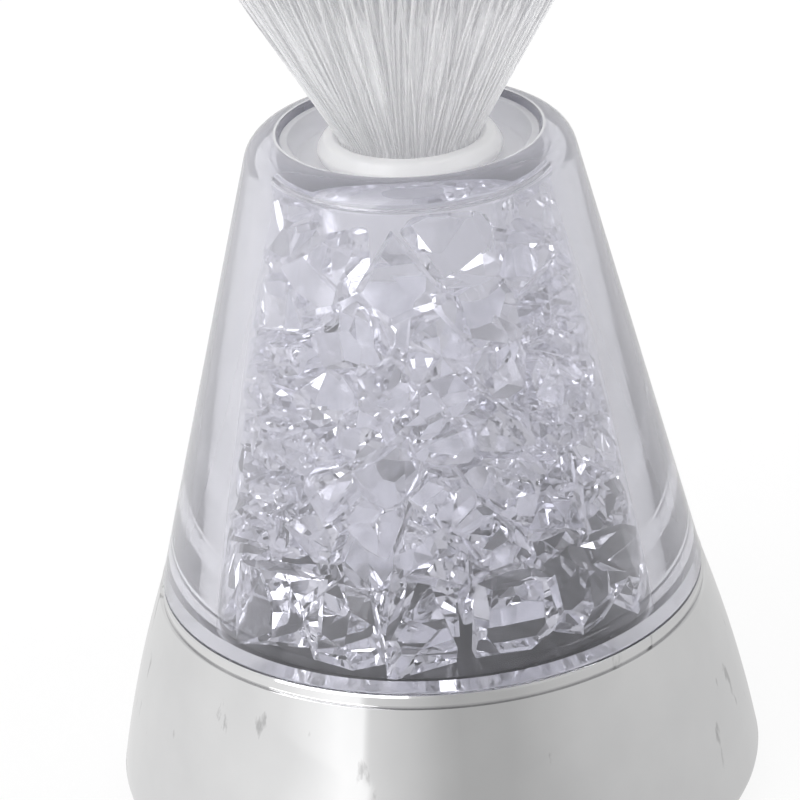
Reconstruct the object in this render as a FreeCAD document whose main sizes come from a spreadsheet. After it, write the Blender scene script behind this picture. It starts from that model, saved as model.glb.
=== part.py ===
import FreeCAD, Part
import math
import os
import random
import Sketcher

from FreeCAD import Placement, Rotation, Vector

# Fibre optic lamp: a chromed base with batteries and coloured lights, a thick clear
# vessel full of crystals, and a plug-in spray of fibres. Millimetres, +Z up, with the
# origin on the table under the middle of the base.

doc = FreeCAD.newDocument("fibre_optic_lamp")
sheet = doc.addObject("Spreadsheet::Sheet", "Sizes")


# A length with the text of the expression that gives it, so sums keep both
class Size:
    def __init__(self, text, number):
        self.text = text
        self.number = number

    def join(self, sign, other, number):
        text = other.text if isinstance(other, Size) else repr(other)
        return Size("(" + self.text + " " + sign + " " + text + ")", number)

    def __add__(self, other):
        return self.join("+", other, self.number + plain(other))

    def __sub__(self, other):
        return self.join("-", other, self.number - plain(other))

    def __mul__(self, other):
        return self.join("*", other, self.number * plain(other))

    def __truediv__(self, other):
        return self.join("/", other, self.number / plain(other))

    def __neg__(self):
        return Size("(0 - " + self.text + ")", -self.number)


def plain(value):
    return value.number if isinstance(value, Size) else value


class Sizes:
    pass


# Driving dimensions
DRIVING = {
    "footHeight": 1.4, "footRadius": 4.0, "footRingRadius": 37.2,
    "footSideways": 15.5, "footBack": 34.0,
    "baseBottom": 1.0, "baseRadius": 49.0, "baseCorner": 4.5, "baseWall": 2.0,
    "flareRadius": 200.0, "flareTopRadius": 41.5, "flareTop": 34.2, "flareFootRadius": 48.9,
    "neckRadius": 41.05, "neckTop": 36.1, "deckTop": 34.1, "deckThick": 2.0,
    "deckStep": 35.9, "lightPort": 11.5, "bottomOpening": 42.6,
    "bossRadius": 3.6, "bossCircle": 35.6, "screwHole": 1.15, "screwShank": 1.1,
    "screwHead": 2.7, "screwHeadThick": 1.7, "screwLength": 9.0,
    "coverRadius": 42.3, "coverThick": 2.2,
    "bayWidth": 46.6, "bayLength": 62.0, "bayTop": 20.2, "bayWall": 1.4,
    "doorWidth": 45.0, "doorLength": 57.0, "doorThick": 1.8, "doorGap": 0.35,
    "cellRadius": 7.2, "cellLength": 49.3, "cellPip": 1.2, "cellPipRadius": 2.75,
    "cellPitch": 15.0, "cellHeight": 11.2,
    "switchLong": 13.0, "switchWide": 6.4, "switchTall": 5.2, "switchBack": 35.4,
    "switchTravel": 4.0, "knobLong": 3.0, "knobWide": 2.6,
    "boardRadius": 20.5, "boardBottom": 23.6, "boardThick": 1.6, "boardPost": 2.6,
    "boardPostCircle": 16.5, "ledRadius": 2.5, "ledCircle": 5.2, "ledTall": 8.6,
    "cupRadius": 11.2, "cupWall": 0.8,
    "plateRadius": 33.6, "plateThick": 1.5, "plateHole": 12.0,
    "vesselRadius": 40.87, "vesselTop": 107.0, "vesselTopRadius": 23.2,
    "vesselShoulder": 5.0, "vesselMouth": 19.2, "vesselWallFoot": 6.7,
    "vesselWallTop": 4.2, "vesselRoof": 102.2, "spigotThick": 1.2, "spigotDepth": 1.6,
    "dishFloor": 103.0, "dishBottom": 101.2, "dishFoot": 17.5, "dishWall": 1.3,
    "dishRim": 106.0, "socketRadius": 12.0,
    "tubeRadius": 14.0, "tubeFoot": 35.7, "tubeTop": 101.1,
    "keyWidth": 1.8, "keyDepth": 0.9, "keySlot": 2.6,
    "collarRadius": 13.5, "collarTop": 106.5, "collarWidest": 104.4,
    "ferruleRadius": 11.4, "ferruleBottom": 88.0, "bundleRadius": 10.2,
    "bundleTop": 130.0, "bundleSpread": 0.577,
    "crystalGap": 0.6, "crystalTop": 100.2,
    "fibreRadius": 0.4, "fibreLength": 174.0, "fibreStraight": 16.0,
}
for row, (alias, number) in enumerate(DRIVING.items(), start=1):
    sheet.set("A" + str(row), alias)
    sheet.set("B" + str(row), str(number))
    sheet.setAlias("B" + str(row), alias)
    setattr(Sizes, alias, Size("Sizes." + alias, number))
doc.recompute()
S = Sizes

pieces = []


def bind(target, name, size):
    if isinstance(size, Size):
        target.setExpression(name, size.text)
    else:
        target.setExpression(name, repr(size))


def startBody(label):
    body = doc.addObject("PartDesign::Body", label)
    body.Label = label
    pieces.append(body)
    return body


def startSketch(body, role, name):
    plane = [item for item in body.Origin.OriginFeatures if item.Role == role][0]
    sketch = body.newObject("Sketcher::SketchObject", body.Name + "_" + name)
    sketch.AttachmentSupport = [(plane, "")]
    sketch.MapMode = "FlatFace"
    return sketch


def lift(sketch, size):
    bind(sketch, ".AttachmentOffset.Base.z", size)


def pinPoint(sketch, edge, end, x, y):
    for kind, axis, size in (("DistanceX", -2, x), ("DistanceY", -1, y)):
        if abs(plain(size)) < 1e-9:
            sketch.addConstraint(Sketcher.Constraint("PointOnObject", edge, end, axis))
            continue
        count = sketch.addConstraint(Sketcher.Constraint(kind, -1, 1, edge, end, plain(size)))
        bind(sketch, "Constraints[" + str(count) + "]", size)


def arcBetween(start, end, radius):
    # A positive radius bows to the left of the way from start to end.
    chord = end - start
    half = chord.Length / 2
    side = Vector(-chord.y, chord.x, 0).normalize()
    if radius < 0:
        side = side * -1
    size = abs(radius)
    bow = size - math.sqrt(max(size * size - half * half, 0))
    middle = (start + end) * 0.5 + side * bow
    return Part.Arc(end, middle, start) if radius > 0 else Part.Arc(start, middle, end)


def drawOutline(sketch, corners):
    # Each corner is x, y and, where the way to the next corner is round, a radius.
    points = [Vector(plain(corner[0]), plain(corner[1]), 0) for corner in corners]
    edges = []
    for index, corner in enumerate(corners):
        start = points[index]
        end = points[(index + 1) % len(points)]
        bent = len(corner) > 2
        shape = arcBetween(start, end, plain(corner[2])) if bent else Part.LineSegment(start, end)
        edge = sketch.addGeometry(shape, False)
        starts = 2 if bent and plain(corner[2]) > 0 else 1
        edges.append((edge, starts))
    for index, corner in enumerate(corners):
        edge, starts = edges[index]
        nextEdge, nextStarts = edges[(index + 1) % len(edges)]
        sketch.addConstraint(Sketcher.Constraint("Coincident", edge, 3 - starts, nextEdge, nextStarts))
        pinPoint(sketch, edge, starts, corner[0], corner[1])
        if len(corner) > 2:
            size = corner[2] if plain(corner[2]) > 0 else -corner[2]
            count = sketch.addConstraint(Sketcher.Constraint("Radius", edge, plain(size)))
            bind(sketch, "Constraints[" + str(count) + "]", size)


def drawCircle(sketch, x, y, radius):
    centre = Vector(plain(x), plain(y), 0)
    edge = sketch.addGeometry(Part.Circle(centre, Vector(0, 0, 1), plain(radius)), False)
    pinPoint(sketch, edge, 3, x, y)
    count = sketch.addConstraint(Sketcher.Constraint("Radius", edge, plain(radius)))
    bind(sketch, "Constraints[" + str(count) + "]", radius)


def drawBox(sketch, low, high):
    drawOutline(sketch, [(low[0], low[1]), (high[0], low[1]), (high[0], high[1]), (low[0], high[1])])


def revolve(body, name, corners, kind="Revolution"):
    sketch = startSketch(body, "XZ_Plane", name + "_profile")
    drawOutline(sketch, corners)
    feature = body.newObject("PartDesign::" + kind, body.Name + "_" + name)
    feature.Profile = sketch
    feature.ReferenceAxis = (sketch, ["V_Axis"])
    feature.Angle = 360
    doc.recompute()
    return feature


def pad(body, name, draw, bottom, length, kind="Pad", reverse=False):
    sketch = startSketch(body, "XY_Plane", name + "_outline")
    lift(sketch, bottom)
    draw(sketch)
    feature = body.newObject("PartDesign::" + kind, body.Name + "_" + name)
    feature.Profile = sketch
    bind(feature, "Length", length)
    feature.Reversed = reverse
    before = body.Shape.Volume if body.Shape.Solids else 0
    doc.recompute()
    if kind == "Pocket" and body.Shape.Volume >= before:
        raise RuntimeError(body.Label + " " + name + " cuts nothing")
    return feature


def pocketUp(body, name, draw, bottom, length):
    return pad(body, name, draw, bottom, length, "Pocket", True)


def roundOff(body, name, feature, pick, radius, kind="Fillet"):
    names = []
    for index, edge in enumerate(feature.Shape.Edges, start=1):
        if pick(edge):
            names.append("Edge" + str(index))
    rounded = body.newObject("PartDesign::" + kind, body.Name + "_" + name)
    rounded.Base = (feature, names)
    bind(rounded, "Radius" if kind == "Fillet" else "Size", radius)
    doc.recompute()
    return rounded


def pattern(body, name, features, count):
    ring = body.newObject("PartDesign::PolarPattern", body.Name + "_" + name)
    ring.Originals = features
    ring.Axis = (features[0].Profile[0], ["N_Axis"])
    ring.Angle = 360
    ring.Occurrences = count
    body.Tip = ring
    doc.recompute()
    return ring


def setShape(label, shape, place=None):
    piece = doc.addObject("Part::Feature", label)
    piece.Label = label
    piece.Shape = shape
    if place is not None:
        piece.Placement = place
    pieces.append(piece)
    return piece


def put(body, x, y, z, turn=0):
    body.Placement = Placement(Vector(0, 0, 0), Rotation(Vector(0, 0, 1), turn))
    bind(body, ".Placement.Base.x", x)
    bind(body, ".Placement.Base.y", y)
    bind(body, ".Placement.Base.z", z)


def around(radius, degrees):
    angle = math.radians(degrees)
    return radius * math.cos(angle), radius * math.sin(angle)


SCREW_ANGLES = (270, 30, 150)
BOARD_ANGLES = (0, 120, 240)
CELL_COLUMNS = (-1, 0, 1)


# Base shell: plated moulding with a flared side, a neck band and a deck on top
def makeBaseShell():
    body = startBody("base_shell")
    inner = S.bottomOpening + 1.4
    cornerTop = S.baseBottom + S.baseCorner
    innerCorner = S.baseCorner - S.baseWall
    innerFoot = S.flareFootRadius - S.baseWall
    deckUnder = S.deckTop - S.deckThick
    revolve(body, "wall", [
        (S.bottomOpening, S.baseBottom),
        (S.baseRadius - S.baseCorner, S.baseBottom, -S.baseCorner),
        (S.flareFootRadius, cornerTop, -S.flareRadius),
        (S.flareTopRadius, S.flareTop),
        (S.neckRadius, S.flareTop + 0.15),
        (S.neckRadius, S.neckTop),
        (S.deckStep, S.neckTop),
        (S.deckStep, S.deckTop),
        (S.lightPort, S.deckTop),
        (S.lightPort, deckUnder),
        (S.flareTopRadius - S.baseWall, deckUnder, S.flareRadius),
        (innerFoot, cornerTop, innerCorner),
        (innerFoot - innerCorner, S.baseBottom + S.baseWall),
        (inner, S.baseBottom + S.baseWall),
        (S.bottomOpening, S.baseBottom + S.baseWall),
    ])
    postFoot = S.footHeight + S.coverThick + 0.2
    post = pad(body, "boss", lambda sketch: drawCircle(sketch, 0, -S.bossCircle, S.bossRadius),
               postFoot, deckUnder - postFoot + 0.5)
    hole = pocketUp(body, "boss_hole",
                    lambda sketch: drawCircle(sketch, 0, -S.bossCircle, S.screwHole),
                    postFoot, S.screwLength + 2.0)
    pattern(body, "bosses", [post, hole], len(SCREW_ANGLES))
    boardTop = S.boardBottom + S.boardThick
    peg = pad(body, "board_post",
              lambda sketch: drawCircle(sketch, S.boardPostCircle, 0, S.boardPost),
              boardTop, deckUnder - boardTop + 0.5)
    pegHole = pocketUp(body, "board_post_hole",
                       lambda sketch: drawCircle(sketch, S.boardPostCircle, 0, S.screwHole),
                       boardTop, deckUnder - boardTop - 0.6)
    pattern(body, "board_posts", [peg, pegHole], len(BOARD_ANGLES))


# Bottom cover: disc with the battery bay, the switch slot and the screw seats
def makeBottomCover():
    body = startBody("bottom_cover")
    low = S.footHeight
    inside = low + S.coverThick
    halfWide = S.bayWidth / 2
    halfLong = S.bayLength / 2
    pad(body, "disc", lambda sketch: drawCircle(sketch, 0, 0, S.coverRadius), low, S.coverThick)
    pad(body, "bay",
        lambda sketch: drawBox(sketch, (-halfWide - S.bayWall, -halfLong),
                               (halfWide + S.bayWall, halfLong - S.bayWall * 2)),
        inside - 0.2, S.bayTop + S.bayWall - inside + 0.2)
    pocketUp(body, "bay_room",
             lambda sketch: drawBox(sketch, (-halfWide, -halfLong + S.bayWall),
                                    (halfWide, halfLong - S.bayWall * 3)),
             low + S.doorThick + 0.3, S.bayTop - low - S.doorThick - 0.3)
    doorHalf = S.doorWidth / 2 + S.doorGap
    doorFront = -halfLong + S.bayWall + 0.6
    pocketUp(body, "door_opening",
             lambda sketch: drawBox(sketch, (-doorHalf, doorFront),
                                    (doorHalf, doorFront + S.doorLength + S.doorGap * 2)),
             low - 0.1, S.coverThick + 0.2)
    pinSeat = doorHalf + 1.3
    hingeLine = doorFront + S.doorGap + S.doorLength - 1.1
    pocketUp(body, "pin_seats",
             lambda sketch: drawBox(sketch, (-pinSeat, hingeLine - 1.2), (pinSeat, hingeLine + 1.2)),
             low - 0.1, S.doorThick + 0.3)
    halfSlot = S.knobWide / 2 + 0.5
    pocketUp(body, "switch_dip",
             lambda sketch: drawBox(sketch, (-S.switchTravel - 2.2, S.switchBack - halfSlot - 1.0),
                                    (S.switchTravel + 2.2, S.switchBack + halfSlot + 1.0)),
             low - 0.1, 1.1)
    pocketUp(body, "switch_slot",
             lambda sketch: drawBox(sketch,
                                    (-S.switchTravel / 2 - S.knobLong / 2 - 0.5,
                                     S.switchBack - halfSlot),
                                    (S.switchTravel / 2 + S.knobLong / 2 + 0.5,
                                     S.switchBack + halfSlot)),
             low, S.coverThick + 0.2)
    seat = pocketUp(body, "screw_seat",
                    lambda sketch: drawCircle(sketch, 0, -S.bossCircle, S.screwHead + 0.3),
                    low - 0.1, S.screwHeadThick * 0.6)
    through = pocketUp(body, "screw_way",
                       lambda sketch: drawCircle(sketch, 0, -S.bossCircle, S.screwShank + 0.4),
                       low, S.coverThick + 0.2)
    pattern(body, "screw_seats", [seat, through], len(SCREW_ANGLES))


def doorPlace():
    front = -(S.bayLength / 2) + S.bayWall + 0.6 + S.doorGap
    return front, front + S.doorLength


# Battery door: plate with a barrel along its hinged edge, a finger dip and a latch tongue
def makeBatteryDoor():
    body = startBody("battery_door")
    front, back = doorPlace()
    half = S.doorWidth / 2
    low = S.footHeight
    pad(body, "plate", lambda sketch: drawBox(sketch, (-half, front), (half, back - 1.1)),
        low, S.doorThick)
    sketch = startSketch(body, "YZ_Plane", "barrel_profile")
    lift(sketch, -half - 1.1)
    drawCircle(sketch, back - 1.1, low + S.doorThick / 2, S.doorThick / 2)
    barrel = body.newObject("PartDesign::Pad", "battery_door_barrel")
    barrel.Profile = sketch
    bind(barrel, "Length", S.doorWidth + 2.2)
    doc.recompute()
    pocketUp(body, "finger_dip", lambda item: drawCircle(item, 0, front + 7.5, 5.0), low - 0.1, 0.8)
    tongue = S.doorWidth / 6
    pad(body, "tongue",
        lambda item: drawBox(item, (-tongue, front + 0.8), (tongue, front + 2.2)),
        low + S.doorThick - 0.1, 0.75)


# Rubber feet, stuck to the cover
def makeFeet():
    sideways = S.footSideways
    back = S.footBack
    spots = [(S.footRingRadius, 0.0), (sideways, back), (-sideways, back),
             (-S.footRingRadius, 0.0), (-sideways, -back), (sideways, -back)]
    for number, (x, y) in enumerate(spots, start=1):
        body = startBody("rubber_foot_" + str(number))
        disc = pad(body, "disc", lambda sketch: drawCircle(sketch, 0, 0, S.footRadius),
                   0, S.footHeight)
        roundOff(body, "edge", disc, lambda edge: edge.BoundBox.ZMax < 0.01, 0.4)
        put(body, x, y, 0)


# Round-headed screws
def makeScrew(label, headLow, shank, head, thick, length):
    body = startBody(label)
    revolve(body, "turned", [
        (0, headLow),
        (head * 0.7, headLow, -head * 0.62),
        (head, headLow + thick * 0.6),
        (head, headLow + thick),
        (shank, headLow + thick),
        (shank, headLow + thick + length - shank),
        (shank * 0.3, headLow + thick + length),
        (0, headLow + thick + length),
    ])
    reach = head.number * 0.62
    pocketUp(body, "cross_long", lambda sketch: drawBox(sketch, (-reach, -0.35), (reach, 0.35)),
             headLow - 0.1, 1.0)
    pocketUp(body, "cross_short", lambda sketch: drawBox(sketch, (-0.35, -reach), (0.35, reach)),
             headLow - 0.1, 1.0)
    return body


def makeCoverScrews():
    seat = S.footHeight + S.screwHeadThick * 0.6 - 0.1
    for number, angle in enumerate(SCREW_ANGLES, start=1):
        headLow = seat - S.screwHeadThick
        body = makeScrew("cover_screw_" + str(number), headLow, S.screwShank, S.screwHead,
                         S.screwHeadThick, S.screwLength)
        x, y = around(S.bossCircle.number, angle)
        put(body, round(x, 4), round(y, 4), 0)


# Circuit board with its lamps, chip and screws
def makeBoard():
    body = startBody("circuit_board")
    pad(body, "disc", lambda sketch: drawCircle(sketch, 0, 0, S.boardRadius),
        S.boardBottom, S.boardThick)
    way = pocketUp(body, "screw_way",
                   lambda sketch: drawCircle(sketch, S.boardPostCircle, 0, S.screwHole + 0.2),
                   S.boardBottom - 0.1, S.boardThick + 0.2)
    pattern(body, "screw_ways", [way], len(BOARD_ANGLES))
    for number, angle in enumerate(BOARD_ANGLES, start=1):
        screw = makeScrew("board_screw_" + str(number), S.boardBottom - 1.3, S.screwShank * 0.9,
                          S.screwHead * 0.8, Size("1.3", 1.3), Size("4.6", 4.6))
        x, y = around(S.boardPostCircle.number, angle)
        put(screw, round(x, 4), round(y, 4), 0)


def makeLamps():
    top = S.boardBottom + S.boardThick
    for number, angle in enumerate((45, 135, 225, 315), start=1):
        body = startBody("light_" + str(number))
        revolve(body, "lens", [
            (0, 1.0), (S.ledRadius + 0.4, 1.0), (S.ledRadius + 0.4, 2.0), (S.ledRadius, 2.0),
            (S.ledRadius, S.ledTall - S.ledRadius, -S.ledRadius), (0, S.ledTall),
        ])
        for side, name in ((-1.27, "leg_left"), (1.27, "leg_right")):
            pad(body, name,
                lambda sketch, side=side: drawBox(sketch, (side - 0.25, -0.25), (side + 0.25, 0.25)),
                0, 1.2)
        x, y = around(S.ledCircle.number, angle)
        put(body, round(x, 4), round(y, 4), top)


def makeLampCup():
    body = startBody("light_cup")
    low = S.boardBottom + S.boardThick
    high = S.deckTop - S.deckThick - 0.2
    revolve(body, "cone", [
        (S.cupRadius - S.cupWall - 1.6, low), (S.cupRadius - 1.6, low),
        (S.cupRadius, high), (S.cupRadius - S.cupWall, high),
    ])


def makeChip():
    body = startBody("control_chip")
    pad(body, "block", lambda sketch: drawBox(sketch, (-3.0, -2.0), (3.0, 2.0)), -1.6, 1.4)
    for column in range(4):
        for side in (-1, 1):
            x = -1.9 + 1.27 * column
            pad(body, "leg_" + str(column) + ("a" if side > 0 else "b"),
                lambda sketch, x=x, side=side: drawBox(
                    sketch, (x - 0.2, min(side * 1.8, side * 3.0)),
                    (x + 0.2, max(side * 1.8, side * 3.0))),
                -0.9, 0.9)
    put(body, 2.0, -8.5, S.boardBottom)


# Three cells side by side, the middle one turned round, with springs and contacts
def cellPlace(column):
    low = -(S.bayLength / 2) + S.bayWall
    return S.cellPitch * column, low


def makeCells():
    for number, column in enumerate(CELL_COLUMNS, start=1):
        body = startBody("battery_" + str(number))
        revolve(body, "can", [
            (0, 0), (S.cellRadius - 1.4, 0), (S.cellRadius - 1.2, 0.4), (S.cellRadius - 0.3, 0.4),
            (S.cellRadius, 0.9), (S.cellRadius, S.cellLength - 0.9),
            (S.cellRadius - 0.5, S.cellLength),
            (S.cellPipRadius, S.cellLength), (S.cellPipRadius, S.cellLength + S.cellPip),
            (0, S.cellLength + S.cellPip),
        ])
        x, low = cellPlace(column)
        forward = column != 0
        length = S.cellLength + S.cellPip
        start = low + 4.6 if forward else low + 0.6 + length
        body.Placement = Placement(Vector(0, 0, 0), Rotation(Vector(1, 0, 0), -90 if forward else 90))
        bind(body, ".Placement.Base.x", x)
        bind(body, ".Placement.Base.y", start)
        bind(body, ".Placement.Base.z", S.cellHeight)


def makeSprings():
    wire = 0.35
    for number, column in enumerate(CELL_COLUMNS, start=1):
        x, low = cellPlace(column)
        room = 3.4
        helix = Part.makeHelix(room / 3.2 - wire * 0.3, room - wire * 2.4, 3.4)
        ring = Part.Wire([Part.makeCircle(wire, Vector(3.4, 0, 0), Vector(0, 1, 0))])
        coil = Part.Wire(helix).makePipeShell([ring], True, True)
        plate = Part.makeCylinder(4.6, 0.4, Vector(0, 0, -0.72))
        shape = coil.fuse(plate)
        if column != 0:
            place = Placement(Vector(x.number, low.number + 0.75, S.cellHeight.number),
                              Rotation(Vector(1, 0, 0), -90))
        else:
            far = low.number + 0.6 + S.cellLength.number + S.cellPip.number + 3.9 - 0.1
            place = Placement(Vector(x.number, far, S.cellHeight.number),
                              Rotation(Vector(1, 0, 0), 90))
        setShape("battery_spring_" + str(number), shape, place)


def makeContacts():
    for number, column in enumerate(CELL_COLUMNS, start=1):
        body = startBody("battery_contact_" + str(number))
        pad(body, "plate", lambda sketch: drawBox(sketch, (-5.0, 0), (5.0, 0.4)), -5.0, 10.0)
        x, low = cellPlace(column)
        forward = column != 0
        y = low + 4.6 + S.cellLength + S.cellPip + 0.05 if forward else low + 0.12
        put(body, x, y, S.cellHeight)


# Slide switch under the cover's edge
def makeSwitch():
    low = S.footHeight + S.coverThick
    body = startBody("switch_body")
    half = S.switchLong / 2
    wide = S.switchWide / 2
    pad(body, "case", lambda sketch: drawBox(sketch, (-half, -wide), (half, wide)),
        0, S.switchTall)
    room = S.switchTravel / 2 + S.knobLong / 2 + 0.8
    pocketUp(body, "track",
             lambda sketch: drawBox(sketch, (-room, -S.knobWide / 2 - 0.7),
                                    (room, S.knobWide / 2 + 0.7)),
             -0.1, 2.9)
    for side in (-1, 0, 1):
        pad(body, "pin_" + str(side + 2),
            lambda sketch, side=side: drawBox(sketch, (side * 3.0 - 0.4, -0.25),
                                              (side * 3.0 + 0.4, 0.25)),
            S.switchTall - 0.1, 2.6)
    put(body, 0, S.switchBack, low)
    slider = startBody("switch_slider")
    halfKnob = S.knobLong / 2
    halfWide = S.knobWide / 2
    pad(slider, "knob",
        lambda sketch: drawBox(sketch, (-halfKnob, -halfWide), (halfKnob, halfWide)),
        S.footHeight + 0.25, S.coverThick + 1.2)
    pad(slider, "tail",
        lambda sketch: drawBox(sketch, (-halfKnob - 0.4, -halfWide - 0.3),
                               (halfKnob + 0.4, halfWide + 0.3)),
        low + 0.5, 1.7)
    for groove in (-0.8, 0.0, 0.8):
        pocketUp(slider, "grip_" + str(int(groove * 10) + 9),
                 lambda sketch, groove=groove: drawBox(sketch, (groove - 0.15, -halfWide - 0.1),
                                                       (groove + 0.15, halfWide + 0.1)),
                 S.footHeight + 0.2, 0.35)
    put(slider, -(S.switchTravel / 2), S.switchBack, 0)


# Insulated leads between the bay, the switch and the board
def roundedPath(points):
    spots = [Vector(*point) for point in points]
    edges = []
    start = spots[0]
    for index in range(1, len(spots) - 1):
        before = spots[index] - spots[index - 1]
        after = spots[index + 1] - spots[index]
        run = 0.45 * min(before.Length, after.Length)
        first = spots[index] - before.normalize() * run
        last = spots[index] + after.normalize() * run
        turn = before.getAngle(after)
        radius = run / math.tan(turn / 2)
        bisector = (after - before).normalize()
        centre = spots[index] + bisector * math.hypot(radius, run)
        middle = centre - bisector * radius
        print("lead bend radius", round(radius, 1))
        edges.append(Part.LineSegment(start, first).toShape())
        edges.append(Part.Arc(first, middle, last).toShape())
        start = last
    edges.append(Part.LineSegment(start, spots[-1]).toShape())
    return Part.Wire(edges)


def makeLead(label, points, radius):
    path = roundedPath(points)
    first = path.Edges[0]
    ring = Part.Wire([Part.makeCircle(radius, first.valueAt(first.FirstParameter),
                                      first.tangentAt(first.FirstParameter))])
    shape = path.makePipeShell([ring], True, True)
    print(label, "volume against section times length",
          round(shape.Volume / (math.pi * radius * radius * path.Length), 3))
    setShape(label, shape)


def makeLeads():
    sleeve = 0.65
    underBoard = S.boardBottom.number - sleeve - 0.06
    back = S.switchBack.number
    pin = S.footHeight.number + S.coverThick.number + S.switchTall.number + 2.5
    makeLead("lead_switch_board",
             [(3.0, back, pin), (3.0, back, pin + 5.6), (3.2, back - 1.4, pin + 9.4),
              (3.8, back - 6.0, underBoard - 0.1), (4.5, 22.0, underBoard),
              (5.0, 15.4, underBoard), (5.1, 12.0, underBoard)], sleeve)
    front = -(S.bayLength.number / 2)
    makeLead("lead_battery_board",
             [(-12.0, front, 15.0), (-12.0, front - 2.6, 15.2), (-12.5, front - 3.8, 18.6),
              (-13.2, front - 2.0, 22.2), (-14.0, -25.0, underBoard),
              (-14.7, -15.5, underBoard - 0.05), (-15.0, -9.0, underBoard)], sleeve)
    wall = S.bayLength.number / 2 - S.bayWall.number * 2
    makeLead("lead_battery_switch",
             [(-14.0, wall, 15.0), (-14.0, wall + 2.4, 15.3), (-11.5, wall + 4.8, 16.6),
              (-7.0, back - 0.6, 17.6), (-3.9, back, 16.8), (-3.0, back, 14.2),
              (-3.0, back, pin)], sleeve)


# Dark plate that the crystals lie on
def makeFloorPlate():
    body = startBody("floor_plate")
    pad(body, "disc", lambda sketch: drawCircle(sketch, 0, 0, S.plateRadius),
        S.deckTop, S.plateThick)
    pocketUp(body, "light_way", lambda sketch: drawCircle(sketch, 0, 0, S.plateHole),
             S.deckTop - 0.1, S.plateThick + 0.2)


# Clear vessel: thick wall, leaning in, with a rounded shoulder and an open mouth
def makeVessel():
    body = startBody("crystal_vessel")
    lean = math.atan2(DRIVING["vesselRadius"] - DRIVING["vesselTopRadius"],
                      DRIVING["vesselTop"] - DRIVING["neckTop"])
    tangent = math.tan((math.pi / 2 - lean) / 2)
    along = S.vesselShoulder * round(tangent, 6)
    turnRadius = S.vesselTopRadius + along * round(math.sin(lean), 6)
    turnHeight = S.vesselTop - along * round(math.cos(lean), 6)
    spigotOut = S.deckStep - 0.4
    revolve(body, "wall", [
        (S.vesselRadius, S.neckTop),
        (turnRadius, turnHeight, -S.vesselShoulder),
        (S.vesselTopRadius - along, S.vesselTop),
        (S.vesselMouth + 0.1, S.vesselTop - 0.15),
        (S.vesselMouth, S.vesselTop - 0.6),
        (S.vesselMouth, S.vesselRoof + 0.6),
        (S.vesselMouth + 0.4, S.vesselRoof),
        (S.vesselTopRadius - S.vesselWallTop + 1.1, S.vesselRoof - 0.6),
        (S.vesselRadius - S.vesselWallFoot, S.neckTop),
        (S.vesselRadius - S.vesselWallFoot, S.neckTop - S.spigotDepth),
        (spigotOut, S.neckTop - S.spigotDepth),
        (spigotOut, S.neckTop),
    ])


# Dish that closes the vessel's mouth and takes the spray
def makeDish():
    body = startBody("recess_dish")
    revolve(body, "dish", [
        (S.socketRadius, S.dishBottom),
        (S.dishFoot - 0.8, S.dishBottom, -(S.dishWall - 0.5)),
        (S.dishFoot, S.dishBottom + 0.8),
        (S.vesselMouth - 0.15, S.dishRim - 0.2),
        (S.vesselMouth - 0.45, S.dishRim),
        (S.vesselMouth - 0.15 - S.dishWall, S.dishRim - 0.2),
        (S.dishFoot - S.dishWall, S.dishFloor),
        (S.socketRadius, S.dishFloor),
    ])
    half = S.keySlot / 2
    pocketUp(body, "key_slot",
             lambda sketch: drawBox(sketch, (-half, S.socketRadius - 1.0),
                                    (half, S.socketRadius + S.keyDepth)),
             S.dishBottom - 0.1, S.dishFloor - S.dishBottom + 0.2)


# Clear tube that carries the dish and lets the light up to the fibres
def makeLightTube():
    body = startBody("light_tube")
    revolve(body, "tube", [
        (S.socketRadius + 0.1, S.tubeFoot), (S.tubeRadius, S.tubeFoot),
        (S.tubeRadius, S.tubeTop), (S.socketRadius + 0.1, S.tubeTop),
    ])
    half = S.keySlot / 2
    pocketUp(body, "key_slot",
             lambda sketch: drawBox(sketch, (-half, S.socketRadius - 1.0),
                                    (half, S.socketRadius + S.keyDepth)),
             S.ferruleBottom - 1.0, S.tubeTop - S.ferruleBottom + 1.2)


# Collar and ferrule that hold the fibres together
def makeCollar():
    body = startBody("bundle_collar")
    inner = S.bundleRadius + 0.2
    revolve(body, "ring", [
        (inner, S.dishFloor), (S.collarRadius - 0.7, S.dishFloor, -1.1),
        (S.collarRadius, S.collarWidest, -2.3), (S.collarRadius - 1.5, S.collarTop - 0.1),
        (inner + 0.6, S.collarTop), (inner, S.collarTop - 0.5),
    ])


def makeFerrule():
    body = startBody("bundle_ferrule")
    inner = S.bundleRadius + 0.1
    revolve(body, "sleeve", [
        (inner, S.ferruleBottom), (S.ferruleRadius - 0.5, S.ferruleBottom),
        (S.ferruleRadius, S.ferruleBottom + 0.5), (S.ferruleRadius, S.dishFloor),
        (inner, S.dishFloor),
    ])
    half = S.keyWidth / 2
    pad(body, "key",
        lambda sketch: drawBox(sketch, (-half, S.ferruleRadius - 0.5),
                               (half, S.ferruleRadius + S.keyDepth - 0.2)),
        S.ferruleBottom + 2.0, S.dishFloor - S.ferruleBottom - 2.0)


def spreadAngle():
    return math.atan(S.bundleSpread.number)


def spreadApex():
    return S.collarTop.number - S.bundleRadius.number / S.bundleSpread.number


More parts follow.
